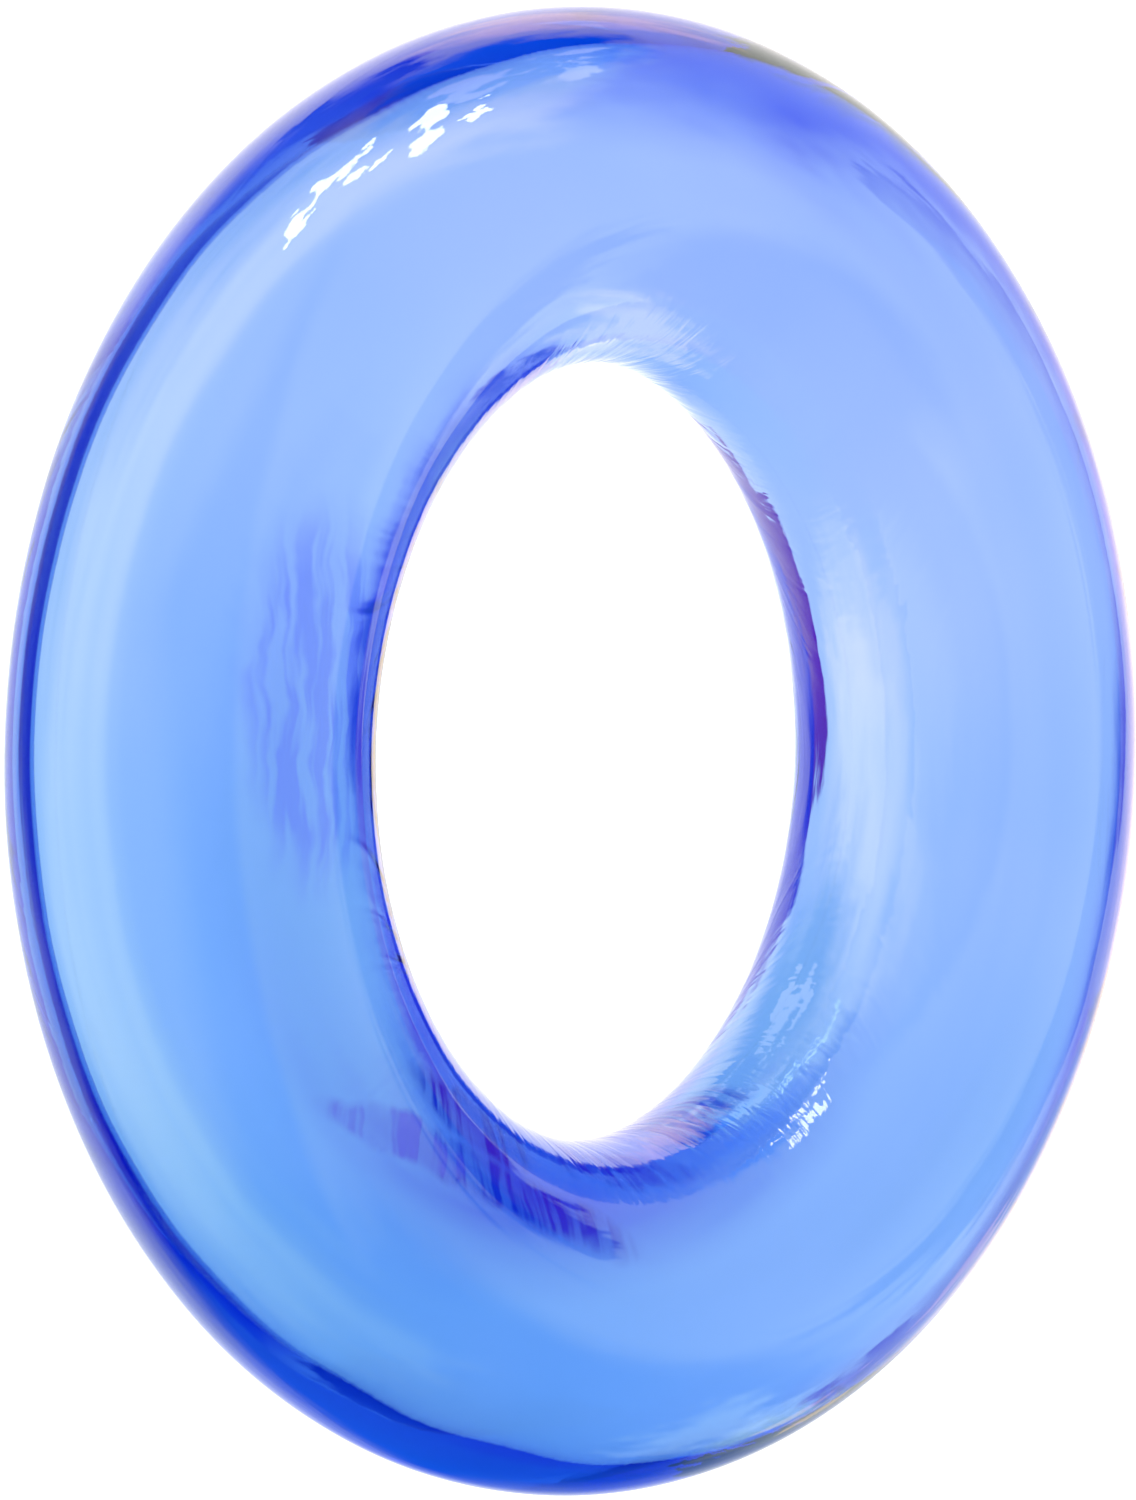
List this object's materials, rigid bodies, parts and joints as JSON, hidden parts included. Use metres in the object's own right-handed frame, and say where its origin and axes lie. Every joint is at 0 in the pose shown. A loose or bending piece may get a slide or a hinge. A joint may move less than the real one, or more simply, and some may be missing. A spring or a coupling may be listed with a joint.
{
  "type": "juggling ring",
  "caption": "Solid clear blue acrylic ring of round section, two turned halves cemented on the mid-plane, for juggling and hand manipulation.",
  "frame": {"origin": "centre of the ring on its mid-plane, where the two halves meet", "axes": "+Z along the ring's axis, through the front half; the ring lies flat in the XY plane"},
  "size_m": [0.12, 0.12, 0.0288],
  "materials": {
    "blue_acrylic": "cast clear blue acrylic, turned and polished to glass",
    "clear_cement": "clear acrylic cement with the same index and tint as the ring"
  },
  "bodies": {
    "root": {"front_half": "blue_acrylic", "rear_half": "blue_acrylic", "cement_bond": "clear_cement"}
  },
  "joints": []
}
